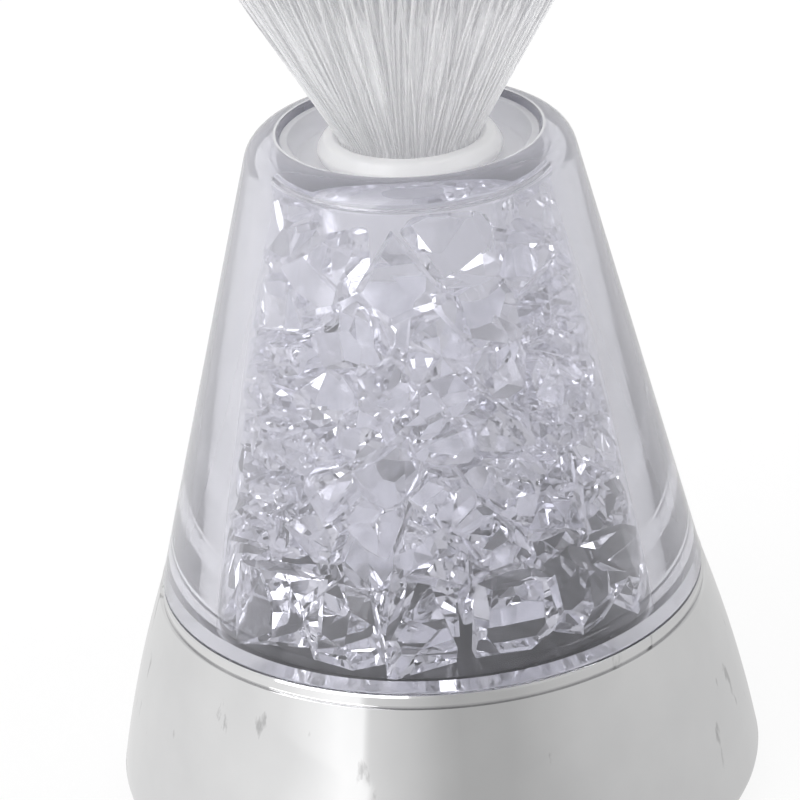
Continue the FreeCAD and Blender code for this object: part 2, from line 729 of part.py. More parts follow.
# Packed fibres: straight in the ferrule, then a cone that opens to a domed end
def makeBundle():
    body = startBody("fibre_bundle")
    opening = S.bundleTop - S.collarTop
    topRadius = S.bundleRadius + opening * S.bundleSpread
    apex = S.collarTop - S.bundleRadius / S.bundleSpread
    stretch = round(math.hypot(1.0, S.bundleSpread.number), 6)
    dome = (S.bundleTop - apex) * stretch
    flat = 1.2
    sink = round(dome.number - math.sqrt(dome.number ** 2 - flat ** 2), 6)
    revolve(body, "packed", [
        (0, S.ferruleBottom), (S.bundleRadius, S.ferruleBottom), (S.bundleRadius, S.collarTop),
        (topRadius, S.bundleTop, -dome), (flat, apex + dome - sink), (0, apex + dome - sink),
    ])


# Loose fibres: each starts on the dome, runs straight and then bends outwards
EDGE_FIBRES = 48
EDGE_SHARE = 0.955
LENGTH_WAVE = 0.06
OUTER_BEND = math.radians(42)
GOLDEN_TURN = math.pi * (3 - math.sqrt(5))
GOLDEN_SHARE = (math.sqrt(5) - 1) / 2


def fibreShape(share, azimuth, length):
    angle = spreadAngle() * share
    apex = spreadApex()
    dome = (S.bundleTop.number - apex) / math.cos(spreadAngle())
    bend = OUTER_BEND * (0.03 + 0.97 * share ** 1.2)
    straight = S.fibreStraight.number
    radius = (length - straight) / bend
    outward = Vector(math.cos(azimuth), math.sin(azimuth), 0)

    def spot(along, up):
        return outward * along + Vector(0, 0, up)

    start = spot(math.sin(angle) * (dome - 0.2), apex + math.cos(angle) * (dome - 0.2))
    turn = spot(math.sin(angle) * (dome + straight), apex + math.cos(angle) * (dome + straight))
    centre = turn + spot(math.cos(angle), -math.sin(angle)) * radius
    half = angle + bend / 2
    end = angle + bend
    middle = centre + spot(-math.cos(half), math.sin(half)) * radius
    tip = centre + spot(-math.cos(end), math.sin(end)) * radius
    path = Part.Wire([Part.LineSegment(start, turn).toShape(),
                      Part.Arc(turn, middle, tip).toShape()])
    # A six-sided section keeps hundreds of loose fibres light
    across = Vector(-math.sin(azimuth), math.cos(azimuth), 0)
    along = (turn - start).normalize()
    corners = []
    for side in range(6):
        turned = Rotation(along, 60 * side).multVec(across)
        corners.append(start + turned * S.fibreRadius.number)
    section = Part.makePolygon(corners + [corners[0]])
    return path.makePipeShell([section], True, False)


def makeFibres():
    counts = (150, 210, 216)
    names = ("fibres_inner", "fibres_middle", "fibres_outer")
    total = sum(counts)
    longest = S.fibreLength.number
    number = 0
    for name, count in zip(names, counts):
        shapes = []
        for step in range(count):
            share = EDGE_SHARE * math.sqrt((number + 0.5) / total)
            length = longest * (1 - LENGTH_WAVE + LENGTH_WAVE * math.sin(number * 2.3))
            shapes.append(fibreShape(share, number * GOLDEN_TURN, length))
            number += 1
        if name == "fibres_outer":
            for step in range(EDGE_FIBRES):
                shapes.append(fibreShape(1.0, 2 * math.pi * step / EDGE_FIBRES, longest))
        setShape(name, Part.makeCompound(shapes))


# Crystals: cells grown round scattered seeds, trimmed to the vessel and chipped
def clipSolid(faces, point, normal):
    kept = []
    rim = []
    for face in faces:
        ring = []
        for index, here in enumerate(face):
            there = face[(index + 1) % len(face)]
            a = (here - point).dot(normal)
            b = (there - point).dot(normal)
            if a <= 0:
                ring.append(here)
            if (a < 0 < b) or (b < 0 < a):
                cross = here + (there - here) * (a / (a - b))
                ring.append(cross)
                rim.append(cross)
            elif a == 0:
                rim.append(here)
        if len(ring) > 2:
            kept.append(ring)
    lid = []
    for spot in rim:
        if all((spot - other).Length > 1e-4 for other in lid):
            lid.append(spot)
    if len(lid) > 2:
        middle = sum(lid, Vector()) * (1 / len(lid))
        first = (lid[0] - middle).normalize()
        second = normal.cross(first)
        lid.sort(key=lambda spot: math.atan2((spot - middle).dot(second), (spot - middle).dot(first)))
        kept.append(lid)
    return kept


def blockAround(seed, reach):
    faces = []
    for axis in range(3):
        for side in (-1, 1):
            ring = []
            for across, up in ((-1, -1), (1, -1), (1, 1), (-1, 1)):
                spot = [0, 0, 0]
                spot[axis] = side
                spot[(axis + 1) % 3] = across
                spot[(axis + 2) % 3] = up
                ring.append(seed + Vector(*spot) * reach)
            faces.append(ring)
    return faces


def innerWallRadius(height):
    foot = S.vesselRadius.number - S.vesselWallFoot.number
    top = S.vesselTopRadius.number - S.vesselWallTop.number + 1.1
    share = (height - S.neckTop.number) / (S.vesselRoof.number - 0.6 - S.neckTop.number)
    return foot + (top - foot) * share


# The pile stands on two close rings; above them the crystals lie as they fell
BOTTOM_RINGS = ((20.2, 10, 10), (28.6, 16, 0))
LOOSE_CRYSTALS = 116
BOTTOM_RISE = 4.3
LOOSE_RISE = 12.2
CORE_ROOM = 2.6
WALL_ROOM = 3.4


def crystalSeeds(chance):
    plateTop = S.deckTop.number + S.plateThick.number
    seeds = []
    for ring, count, offset in BOTTOM_RINGS:
        for step in range(count):
            x, y = around(ring + chance.uniform(-0.8, 0.8),
                          360 * step / count + offset + chance.uniform(-3, 3))
            seeds.append(Vector(x, y, plateTop + BOTTOM_RISE + chance.uniform(-0.5, 0.9)))
    low = plateTop + LOOSE_RISE
    high = S.crystalTop.number - 3.5
    core = S.tubeRadius.number + 0.3
    steps = 200
    heights = [low + (high - low) * step / steps for step in range(steps + 1)]
    areas = [innerWallRadius(height) ** 2 - core ** 2 for height in heights]
    total = sum(areas)
    reached = 0
    number = 0
    for height, area in zip(heights, areas):
        reached += area
        while number < LOOSE_CRYSTALS * reached / total:
            inner = core + CORE_ROOM
            outer = innerWallRadius(height) - WALL_ROOM
            share = (number * GOLDEN_SHARE) % 1
            span = max(outer ** 2 - inner ** 2, 0)
            radius = math.sqrt(inner ** 2 + span * share)
            angle = number * GOLDEN_TURN + chance.uniform(-0.12, 0.12)
            seeds.append(Vector(radius * math.cos(angle), radius * math.sin(angle),
                                height + chance.uniform(-1.4, 1.4)))
            number += 1
    return seeds


CRYSTAL_SIZES = (5.3, 7.7)
CRYSTAL_STRETCH = 0.45
FACET_COUNTS = (9, 13)
FACET_DEPTHS = (0.64, 0.96)
WALL_GAP = 0.55
TUBE_GAP = 0.3
PLATE_GAP = 0.05
SEED_REACH = 34
WALL_PLANE_TURN = 14


def randomDirection(chance):
    return Vector(chance.gauss(0, 1), chance.gauss(0, 1), chance.gauss(0, 1)).normalize()


def crystalFaces(seed, seeds, chance):
    gap = S.crystalGap.number
    faces = blockAround(seed, 15.0)
    for other in seeds:
        away = other - seed
        distance = away.Length
        if 0 < distance < SEED_REACH:
            direction = away * (1 / distance)
            faces = clipSolid(faces, seed + direction * (distance / 2 - gap / 2), direction)
    plateTop = S.deckTop.number + S.plateThick.number
    faces = clipSolid(faces, Vector(0, 0, plateTop + PLATE_GAP), Vector(0, 0, -1))
    faces = clipSolid(faces, Vector(0, 0, S.crystalTop.number), Vector(0, 0, 1))
    azimuth = math.atan2(seed.y, seed.x)
    inward = Vector(-math.cos(azimuth), -math.sin(azimuth), 0)
    faces = clipSolid(faces, inward * -(S.tubeRadius.number + TUBE_GAP), inward)
    foot = S.neckTop.number
    slope = (innerWallRadius(foot) - innerWallRadius(foot + 10)) / 10
    for step in range(-4, 5):
        turned = azimuth + math.radians(WALL_PLANE_TURN * step)
        outward = Vector(math.cos(turned), math.sin(turned), slope).normalize()
        edge = Vector(math.cos(turned), math.sin(turned), 0) * (innerWallRadius(foot) - WALL_GAP)
        faces = clipSolid(faces, edge + Vector(0, 0, foot), outward)
    longWay = randomDirection(chance)
    size = chance.uniform(*CRYSTAL_SIZES)
    for facet in range(chance.randint(*FACET_COUNTS)):
        direction = randomDirection(chance)
        stretch = 1 + CRYSTAL_STRETCH * abs(direction.dot(longWay))
        depth = size * stretch * chance.uniform(*FACET_DEPTHS)
        faces = clipSolid(faces, seed + direction * depth, direction)
    return faces


def faceSolid(faces):
    shells = []
    for ring in faces:
        tidy = [spot for index, spot in enumerate(ring) if (spot - ring[index - 1]).Length > 1e-5]
        if len(tidy) > 2:
            shells.append(Part.Face(Part.makePolygon(tidy + [tidy[0]])))
    shell = Part.makeShell(shells)
    shell.sewShape()
    solid = Part.makeSolid(shell)
    if solid.Volume < 0:
        solid.reverse()
    return solid


def makeCrystals():
    chance = random.Random(11)
    seeds = crystalSeeds(chance)
    layers = {}
    for number, seed in enumerate(seeds):
        solid = faceSolid(crystalFaces(seed, seeds, chance))
        layers.setdefault(1 + 4 * number // len(seeds), []).append(solid)
    for layer, solids in layers.items():
        print("crystals layer", layer, len(solids), "valid", all(item.isValid() for item in solids))
        setShape("crystals_layer_" + str(layer), Part.makeCompound(solids))


makeBaseShell()
makeBottomCover()
makeBatteryDoor()
makeFeet()
makeCoverScrews()
makeBoard()
makeLamps()
makeLampCup()
makeChip()
makeCells()
makeSprings()
makeContacts()
makeSwitch()
makeLeads()
makeFloorPlate()
makeVessel()
makeDish()
makeLightTube()
makeCrystals()
makeCollar()
makeFerrule()
makeBundle()
makeFibres()
doc.recompute()

for item in doc.Objects:
    if "Invalid" in item.State or "Error" in item.State:
        raise RuntimeError(item.Label + " failed: " + str(item.State))
for piece in pieces:
    if piece.Shape.isNull() or not piece.Shape.isValid():
        raise RuntimeError(piece.Label + " has no valid shape")

os.makedirs("parts", exist_ok=True)
for piece in pieces:
    piece.Shape.exportStep("parts/" + piece.Label + ".step")
    box = piece.Shape.BoundBox
    print(piece.Label, len(piece.Shape.Solids), round(piece.Shape.Volume), "z",
          round(box.ZMin, 2), round(box.ZMax, 2), "x", round(box.XMin, 1), round(box.XMax, 1),
          "y", round(box.YMin, 1), round(box.YMax, 1))
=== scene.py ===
import math
import random

import bpy
from mathutils import Matrix, Vector


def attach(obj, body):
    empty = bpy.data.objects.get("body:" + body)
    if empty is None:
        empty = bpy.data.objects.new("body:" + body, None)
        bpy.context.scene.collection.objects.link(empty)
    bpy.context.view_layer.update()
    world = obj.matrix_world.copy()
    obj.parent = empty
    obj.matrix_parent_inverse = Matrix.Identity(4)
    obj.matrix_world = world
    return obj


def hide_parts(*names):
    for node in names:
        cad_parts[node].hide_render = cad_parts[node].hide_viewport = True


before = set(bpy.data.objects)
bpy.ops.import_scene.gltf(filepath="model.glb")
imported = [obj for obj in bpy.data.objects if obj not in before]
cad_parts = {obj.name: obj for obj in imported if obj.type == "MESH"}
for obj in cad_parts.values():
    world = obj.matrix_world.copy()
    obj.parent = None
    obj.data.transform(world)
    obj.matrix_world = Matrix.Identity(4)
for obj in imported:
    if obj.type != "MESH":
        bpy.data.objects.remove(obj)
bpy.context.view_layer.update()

scene = bpy.context.scene
millimetre = 0.001


# Small helpers for picking and turning shapes

def clearSelection():
    if bpy.context.object and bpy.context.object.mode != "OBJECT":
        bpy.ops.object.mode_set(mode="OBJECT")
    bpy.ops.object.select_all(action="DESELECT")


def pickOnly(piece):
    clearSelection()
    piece.select_set(True)
    bpy.context.view_layer.objects.active = piece


def arcPoints(before, corner, after, radius, steps):
    # Swaps a sharp corner of an outline for an arc that touches both sides
    toBefore = (before - corner).normalized()
    toAfter = (after - corner).normalized()
    half = toBefore.angle(toAfter) / 2
    reach = radius / math.tan(half)
    centre = corner + (toBefore + toAfter).normalized() * (radius / math.sin(half))
    start = corner + toBefore * reach - centre
    end = corner + toAfter * reach - centre
    points = []
    for step in range(steps + 1):
        blend = start.lerp(end, step / steps)
        points.append(centre + blend.normalized() * radius)
    return points


def roundedOutline(corners, steps=6):
    # Each corner is radius from the axis, height and corner rounding, in millimetres
    spots = [Vector((corner[0], corner[1])) for corner in corners]
    outline = []
    for index, corner in enumerate(corners):
        if len(corner) < 3:
            outline.append(spots[index])
            continue
        before = spots[index - 1]
        after = spots[(index + 1) % len(spots)]
        outline.extend(arcPoints(before, spots[index], after, corner[2], steps))
    return [Vector((spot.x, 0, spot.y)) * millimetre for spot in outline]


def turnOutline(name, outline, turns, closed=True):
    # Draws the outline point by point and spins it round the lamp's axis; the doubles merged
    # afterwards are the seam and, where the outline starts on the axis, its poles
    clearSelection()
    bpy.ops.mesh.primitive_plane_add(size=0.001, location=outline[0])
    piece = bpy.context.object
    piece.name = name
    bpy.ops.object.mode_set(mode="EDIT")
    bpy.ops.mesh.merge(type="CENTER")
    for index in range(1, len(outline)):
        step = outline[index] - outline[index - 1]
        bpy.ops.mesh.extrude_region_move(TRANSFORM_OT_translate={"value": step})
    bpy.ops.mesh.select_all(action="SELECT")
    if closed:
        bpy.ops.object.mode_set(mode="OBJECT")
        bpy.ops.object.transform_apply(location=True, rotation=True, scale=True)
        mesh = piece.data
        ends = [0, len(mesh.vertices) - 1]
        bpy.ops.object.mode_set(mode="EDIT")
        bpy.ops.mesh.select_all(action="DESELECT")
        bpy.ops.object.mode_set(mode="OBJECT")
        for end in ends:
            mesh.vertices[end].select = True
        bpy.ops.object.mode_set(mode="EDIT")
        bpy.ops.mesh.edge_face_add()
        bpy.ops.mesh.select_all(action="SELECT")
    bpy.ops.mesh.spin(steps=turns, angle=2 * math.pi, center=(0, 0, 0), axis=(0, 0, 1))
    bpy.ops.mesh.select_all(action="SELECT")
    bpy.ops.mesh.remove_doubles(threshold=0.000004)
    bpy.ops.mesh.normals_make_consistent(inside=False)
    bpy.ops.object.mode_set(mode="OBJECT")
    bpy.ops.object.transform_apply(location=True, rotation=True, scale=True)
    return piece


def smoothBy(piece, degrees):
    pickOnly(piece)
    bpy.ops.object.shade_smooth_by_angle(angle=math.radians(degrees))


def dress(piece, material):
    piece.data.materials.clear()
    piece.data.materials.append(material)


def dressNode(node, material):
    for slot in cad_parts[node].material_slots:
        slot.link = "OBJECT"
        slot.material = material


# Materials

def startMaterial(name):
    material = bpy.data.materials.new(name)
    material.use_nodes = True
    tree = material.node_tree
    shader = tree.nodes["Principled BSDF"]
    return material, tree, shader


def feed(tree, socket, value):
    # A socket takes either another node's output or a plain value
    if isinstance(value, bpy.types.NodeSocket):
        tree.links.new(value, socket)
    else:
        socket.default_value = value


def compute(tree, operation, first, second):
    node = tree.nodes.new("ShaderNodeMath")
    node.operation = operation
    feed(tree, node.inputs[0], first)
    feed(tree, node.inputs[1], second)
    return node.outputs[0]


def spreadTo(tree, value, fromLow, fromHigh, toLow, toHigh):
    spread = tree.nodes.new("ShaderNodeMapRange")
    spread.inputs["From Min"].default_value = fromLow
    spread.inputs["From Max"].default_value = fromHigh
    spread.inputs["To Min"].default_value = toLow
    spread.inputs["To Max"].default_value = toHigh
    tree.links.new(value, spread.inputs["Value"])
    return spread.outputs["Result"]


def grain(tree, scale, detail, stretch):
    # Noise on the piece's own coordinates; a stretch below 1 draws it out along that axis
    place = tree.nodes.new("ShaderNodeTexCoord")
    mapping = tree.nodes.new("ShaderNodeMapping")
    mapping.inputs["Scale"].default_value = stretch
    tree.links.new(place.outputs["Object"], mapping.inputs["Vector"])
    noise = tree.nodes.new("ShaderNodeTexNoise")
    noise.inputs["Scale"].default_value = scale
    noise.inputs["Detail"].default_value = detail
    tree.links.new(mapping.outputs["Vector"], noise.inputs["Vector"])
    return noise.outputs["Fac"]


def twoShades(tree, value, low, high, start, end):
    ramp = tree.nodes.new("ShaderNodeValToRGB")
    ramp.color_ramp.elements[0].position = start
    ramp.color_ramp.elements[0].color = (*low, 1)
    ramp.color_ramp.elements[1].position = end
    ramp.color_ramp.elements[1].color = (*high, 1)
    tree.links.new(value, ramp.inputs["Fac"])
    return ramp.outputs["Color"]


def mottle(tree, shader, low, high, scale, detail=4.0, stretch=(1, 1, 1)):
    # Colour that drifts between two near shades
    shade = twoShades(tree, grain(tree, scale, detail, stretch), low, high, 0.3, 0.7)
    tree.links.new(shade, shader.inputs["Base Color"])


def roughen(tree, shader, low, high, scale, stretch=(1, 1, 1)):
    rough = spreadTo(tree, grain(tree, scale, 5.0, stretch), 0.0, 1.0, low, high)
    tree.links.new(rough, shader.inputs["Roughness"])


def addBump(tree, shader, scale, strength, distance, stretch=(1, 1, 1), detail=3.0):
    bump = tree.nodes.new("ShaderNodeBump")
    bump.inputs["Strength"].default_value = strength
    bump.inputs["Distance"].default_value = distance
    tree.links.new(grain(tree, scale, detail, stretch), bump.inputs["Height"])
    tree.links.new(bump.outputs["Normal"], shader.inputs["Normal"])


def paintedGlow(shader, colour, strength):
    # Painted glow: a faint emission that stands in for light passed on through clear walls and fibres;
    # these parts give no light of their own
    shader.inputs["Emission Color"].default_value = (*colour, 1)
    shader.inputs["Emission Strength"].default_value = strength


def milkiness(shader, weight, radius):
    shader.inputs["Subsurface Weight"].default_value = weight
    shader.inputs["Subsurface Radius"].default_value = radius
    shader.inputs["Subsurface Scale"].default_value = 1.0


# Painted reflection streaks on the plating
reflectionStreaks = {"scale": 250.0, "rarity": 0.645, "edge": 0.05, "dark": 0.68, "upright": (1, 1, 0.25)}


def paintReflectionStreaks(tree, shader):
    # Painted reflection: small dark upright streaks multiplied into the plating's colour, standing for
    # streaks in what the mirror reflects
    v = reflectionStreaks
    streakNoise = grain(tree, v["scale"], 6.0, v["upright"])
    shade = twoShades(tree, streakNoise, (1, 1, 1), (v["dark"],) * 3, v["rarity"], v["rarity"] + v["edge"])
    under = shader.inputs["Base Color"].links[0].from_socket
    blend = tree.nodes.new("ShaderNodeMix")
    blend.data_type = "RGBA"
    blend.blend_type = "MULTIPLY"
    blend.inputs["Factor"].default_value = 1.0
    tree.links.new(under, blend.inputs["A"])
    tree.links.new(shade, blend.inputs["B"])
    tree.links.new(blend.outputs["Result"], shader.inputs["Base Color"])


def platedMaterial():
    # Vacuum plating: mirror bright, with the moulding's faint waves under it
    material, tree, shader = startMaterial("vacuumPlating")
    shader.inputs["Metallic"].default_value = 1.0
    mottle(tree, shader, (0.80, 0.80, 0.805), (0.87, 0.87, 0.872), 60.0)
    # painted reflection streaks, multiplied into the plating's colour
    paintReflectionStreaks(tree, shader)
    roughen(tree, shader, 0.03, 0.10, 240.0, (1, 1, 0.3))
    addBump(tree, shader, 55.0, 0.10, 0.0004, (1, 1, 0.12), 2.0)
    return material


def clearMaterial(name, tint, roughLow, roughHigh, ior=1.49):
    material, tree, shader = startMaterial(name)
    shader.inputs["Transmission Weight"].default_value = 1.0
    shader.inputs["IOR"].default_value = ior
    mottle(tree, shader, tint, tuple(min(1.0, part * 1.02) for part in tint), 40.0)
    roughen(tree, shader, roughLow, roughHigh, 90.0)
    return material, tree, shader


haze = {"foot": 0.038, "shoulder": 0.100, "edgeStart": 0.22, "edgeEnd": 0.70}


def hazeByHeight(tree, shader, low, high, edge=0.0):
    # Clear at the foot, hazier towards the shoulder, and hazier where the wall is seen edge on
    place = tree.nodes.new("ShaderNodeTexCoord")
    split = tree.nodes.new("ShaderNodeSeparateXYZ")
    tree.links.new(place.outputs["Object"], split.inputs["Vector"])
    clear = spreadTo(tree, split.outputs["Z"], haze["foot"], haze["shoulder"], low, high)
    facing = tree.nodes.new("ShaderNodeLayerWeight")
    edgeOn = spreadTo(tree, facing.outputs["Facing"], haze["edgeStart"], haze["edgeEnd"], 0.0, edge)
    left = compute(tree, "SUBTRACT", clear, edgeOn)
    tree.links.new(left, shader.inputs["Transmission Weight"])


def vesselMaterial():
    # No bump here: on a thick clear wall it would cut dark gaps into the edges
    material, tree, shader = clearMaterial("vesselAcrylic", (0.84, 0.84, 0.905), 0.0, 0.02)
    hazeByHeight(tree, shader, 0.95, 0.82, 0.27)
    return material


def innerWallMaterial():
    # The wall's inside is as moulded: a slight haze over what lies deeper
    material, tree, shader = clearMaterial("vesselInside", (0.945, 0.945, 0.97), 0.0, 0.02)
    hazeByHeight(tree, shader, 0.98, 0.92)
    return material


def crystalMaterial():
    material, tree, shader = clearMaterial("crystalAcrylic", (0.965, 0.965, 0.98), 0.0, 0.02, 1.52)
    addBump(tree, shader, 180.0, 0.02, 0.0002)
    return material


def tubeMaterial():
    # Light tube: clear with a light frost, so the crystals behind it show through
    material, tree, shader = clearMaterial("lightTube", (0.95, 0.95, 0.965), 0.10, 0.2)
    # Painted glow: a faint emission on the tube, which gives no light of its own
    paintedGlow(shader, (0.93, 0.93, 0.97), 0.03)
    return material


def dishMaterial():
    # Translucent dish: pale and satin, with a faint painted glow all over it
    material, tree, shader = startMaterial("dishSatin")
    shader.inputs["Transmission Weight"].default_value = 0.55
    shader.inputs["IOR"].default_value = 1.49
    mottle(tree, shader, (0.90, 0.90, 0.925), (0.95, 0.95, 0.97), 60.0)
    roughen(tree, shader, 0.16, 0.28, 120.0)
    paintedGlow(shader, (0.93, 0.93, 0.97), 0.06)
    return material


def ferruleMaterial():
    # Inside the clear parts, kept pale by a painted glow and its milky scattering
    material, tree, shader = startMaterial("ferruleMilk")
    mottle(tree, shader, (0.84, 0.84, 0.86), (0.90, 0.90, 0.915), 160.0)
    shader.inputs["Roughness"].default_value = 0.35
    milkiness(shader, 0.4, (0.004, 0.004, 0.0042))
    paintedGlow(shader, (0.94, 0.94, 0.97), 0.30)
    addBump(tree, shader, 500.0, 0.05, 0.0001)
    return material


def milkMaterial():
    material, tree, shader = startMaterial("milkyCollar")
    mottle(tree, shader, (0.88, 0.88, 0.89), (0.93, 0.93, 0.935), 160.0)
    shader.inputs["Roughness"].default_value = 0.28
    shader.inputs["Transmission Weight"].default_value = 0.12
    milkiness(shader, 0.45, (0.004, 0.004, 0.0042))
    # Painted glow: a faint emission that lifts the collar's shade
    paintedGlow(shader, (0.97, 0.97, 1.0), 0.05)
    addBump(tree, shader, 500.0, 0.05, 0.0001)
    return material


def fibreMaterial():
    # Clear fibres read as white in the mass: light scatters from one to the next, and a painted glow
    # evens out their shading
    material, tree, shader = startMaterial("clearFibre")
    mottle(tree, shader, (0.64, 0.64, 0.652), (0.68, 0.68, 0.692), 1400.0, 3.0, (1, 1, 0.05))
    shader.inputs["Roughness"].default_value = 0.5
    shader.inputs["Specular IOR Level"].default_value = 0.25
    milkiness(shader, 0.7, (0.004, 0.004, 0.004))
    paintedGlow(shader, (0.97, 0.97, 1.0), 0.12)
    return material


def coreMaterial():
    # Packed fibres seen between the outer ones: fine streaks along the cone
    material, tree, shader = startMaterial("packedFibre")
    mottle(tree, shader, (0.76, 0.76, 0.77), (0.84, 0.84, 0.85), 1600.0, 4.0, (1, 1, 0.04))
    shader.inputs["Roughness"].default_value = 0.4
    milkiness(shader, 0.4, (0.004, 0.004, 0.004))
    # Painted glow: lifts the shade in the gaps between the outer fibres
    paintedGlow(shader, (0.97, 0.97, 1.0), 0.13)
    addBump(tree, shader, 1500.0, 0.5, 0.0003, (1, 1, 0.04))
    return material


def plasticMaterial(name, low, high, rough, grainScale=900.0, bump=0.12):
    material, tree, shader = startMaterial(name)
    mottle(tree, shader, low, high, 80.0)
    roughen(tree, shader, rough, rough + 0.12, 300.0)
    addBump(tree, shader, grainScale, bump, 0.0001)
    return material


def metalMaterial(name, low, high, rough):
    material, tree, shader = startMaterial(name)
    shader.inputs["Metallic"].default_value = 1.0
    mottle(tree, shader, low, high, 400.0)
    roughen(tree, shader, rough, rough + 0.15, 700.0)
    addBump(tree, shader, 1200.0, 0.08, 0.00005)
    return material


plated = platedMaterial()
vesselClear = vesselMaterial()
vesselInner = innerWallMaterial()
crystalClear = crystalMaterial()
tubeClear = tubeMaterial()
dishSatin = dishMaterial()
lensClear = clearMaterial("lightLens", (0.96, 0.96, 0.975), 0.02, 0.06)[0]
milky = milkMaterial()
ferruleMilk = ferruleMaterial()
fibreClear = fibreMaterial()
fibreCore = coreMaterial()
coverPlastic = plasticMaterial("coverPlastic", (0.035, 0.035, 0.038), (0.05, 0.05, 0.053), 0.45)
footRubber = plasticMaterial("footRubber", (0.02, 0.02, 0.02), (0.035, 0.035, 0.035), 0.7, 1500.0, 0.25)
screwSteel = metalMaterial("screwSteel", (0.50, 0.50, 0.51), (0.64, 0.64, 0.65), 0.25)
contactMetal = metalMaterial("contactNickel", (0.62, 0.60, 0.56), (0.75, 0.73, 0.69), 0.18)
boardGreen = plasticMaterial("boardLaminate", (0.02, 0.13, 0.05), (0.03, 0.18, 0.07), 0.35, 600.0, 0.1)
chipResin = plasticMaterial("chipResin", (0.02, 0.02, 0.022), (0.03, 0.03, 0.032), 0.5)
cupWhite = plasticMaterial("cupWhite", (0.80, 0.80, 0.80), (0.86, 0.86, 0.86), 0.2, 400.0, 0.03)
cellJacket = plasticMaterial("cellJacket", (0.06, 0.09, 0.16), (0.09, 0.12, 0.20), 0.25, 300.0, 0.04)
leadSleeve = plasticMaterial("leadSleeve", (0.35, 0.02, 0.015), (0.45, 0.04, 0.03), 0.35, 900.0, 0.05)
plateBlack = plasticMaterial("plateBlack", (0.028, 0.028, 0.032), (0.05, 0.05, 0.055), 0.06, 300.0, 0.03)
print("materials ready")


# Camera, from the photograph's own lines
view = {
    "distance": 0.585, "elevation": 25.56, "roll": -3.05, "aimHeight": 0.060,
    "lens": 176.6, "shiftRight": -0.0308, "shiftUp": 0.0259,
}


def makeCamera():
    elevation = math.radians(view["elevation"])
    aim = Vector((0, 0, view["aimHeight"]))
    place = aim + Vector((0, -math.cos(elevation), math.sin(elevation))) * view["distance"]
    forward = (aim - place).normalized()
    right = forward.cross(Vector((0, 0, 1))).normalized()
    up = right.cross(forward)
    roll = math.radians(view["roll"])
    cameraRight = right * math.cos(roll) + up * math.sin(roll)
    cameraUp = up * math.cos(roll) - right * math.sin(roll)
    data = bpy.data.cameras.new("photoCamera")
    data.lens = view["lens"]
    data.sensor_width = 36
    data.shift_x = view["shiftRight"]
    data.shift_y = view["shiftUp"]
    data.clip_start = 0.01
    camera = bpy.data.objects.new("photoCamera", data)
    scene.collection.objects.link(camera)
    turn = Matrix((cameraRight, cameraUp, -forward)).transposed().to_4x4()
    camera.matrix_world = Matrix.Translation(place) @ turn
    scene.camera = camera


makeCamera()


# Chromed base: the outside skin is turned finely so that the mirror stays smooth
baseSkin = {
    "bottom": 1.0, "opening": 42.6, "corner": 4.4, "foot": 48.95, "flareRadius": 200.0,
    "flareTop": 34.2, "flareTopRadius": 41.5, "neck": 41.05, "neckTop": 36.1,
    "wall": 2.0, "step": 35.9, "deck": 34.1, "port": 11.5, "turns": 192,
    "grooveDeep": 0.35, "grooveTall": 0.22, "seam": 0.05, "neckEdge": 0.25, "lipInset": 2.6,
    "cornerTurn": 84, "cornerSteps": 7, "flareSteps": 12,
}


def flareLine(low, high, radius, steps):
    # The side's slow outward bow between two points
    chord = high - low
    side = Vector((chord.y, -chord.x)).normalized()
    half = chord.length / 2
    centre = (low + high) / 2 - side * math.sqrt(radius * radius - half * half)
    points = []
    for step in range(steps + 1):
        spot = low.lerp(high, step / steps)
        points.append(centre + (spot - centre).normalized() * radius)
    return points


def makeBaseSkin():
    v = baseSkin
    low = Vector((v["foot"], v["bottom"] + v["corner"]))
    high = Vector((v["flareTopRadius"], v["flareTop"]))
    flare = flareLine(low, high, v["flareRadius"], v["flareSteps"])
    cornerCentre = Vector((v["foot"] - v["corner"], v["bottom"] + v["corner"]))
    corner = []
    for step in range(v["cornerSteps"] + 1):
        angle = math.radians(-90 + v["cornerTurn"] * step / v["cornerSteps"])
        corner.append(cornerCentre + Vector((math.cos(angle), math.sin(angle))) * v["corner"])
    outline = [(v["opening"], v["bottom"])]
    outline += [tuple(spot) for spot in corner]
    outline += [tuple(spot) for spot in flare]
    groove = v["neck"] - v["grooveDeep"]
    seam = v["flareTop"] + v["seam"]
    outline += [(groove, seam), (groove, seam + v["grooveTall"])]
    outline += [(v["neck"], seam + 2 * v["seam"] + v["grooveTall"])]
    outline += [(v["neck"], v["neckTop"] - v["neckEdge"]), (v["neck"] - v["neckEdge"], v["neckTop"])]
    outline += [(v["step"], v["neckTop"]), (v["step"], v["deck"]), (v["port"], v["deck"])]
    outline += [(v["port"], v["deck"] - v["wall"])]
    inner = [Vector((spot.x - v["wall"], spot.y)) for spot in reversed(flare[:-2])]
    outline += [(v["flareTopRadius"] - v["wall"], v["deck"] - v["wall"])]
    outline += [tuple(spot) for spot in inner]
    outline += [(v["foot"] - v["wall"] - v["lipInset"], v["bottom"] + v["wall"])]
    outline += [(v["opening"], v["bottom"] + v["wall"])]
    spots = [Vector((spot[0], 0, spot[1])) * millimetre for spot in outline]
    piece = turnOutline("base_plating", spots, v["turns"])
    smoothBy(piece, 28)
    dress(piece, plated)
    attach(piece, "base")
    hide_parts("base_shell")


makeBaseSkin()
print("base ready")


# Clear vessel with its rounded shoulder and open mouth
vessel = {
    "footRadius": 40.87, "foot": 36.1, "topRadius": 23.2, "top": 107.0, "shoulder": 5.0,
    "mouth": 19.2, "roof": 102.2, "wallFoot": 6.7, "wallTop": 4.2, "spigot": 1.6,
    "spigotOut": 35.5, "turns": 160, "gap": 0.05, "footEdge": 0.5, "mouthEdge": 0.45,
    "roofEdge": 0.7, "spigotEdge": 0.2, "lean": 1.1, "roofDrop": 0.3, "arcSteps": 8,
}


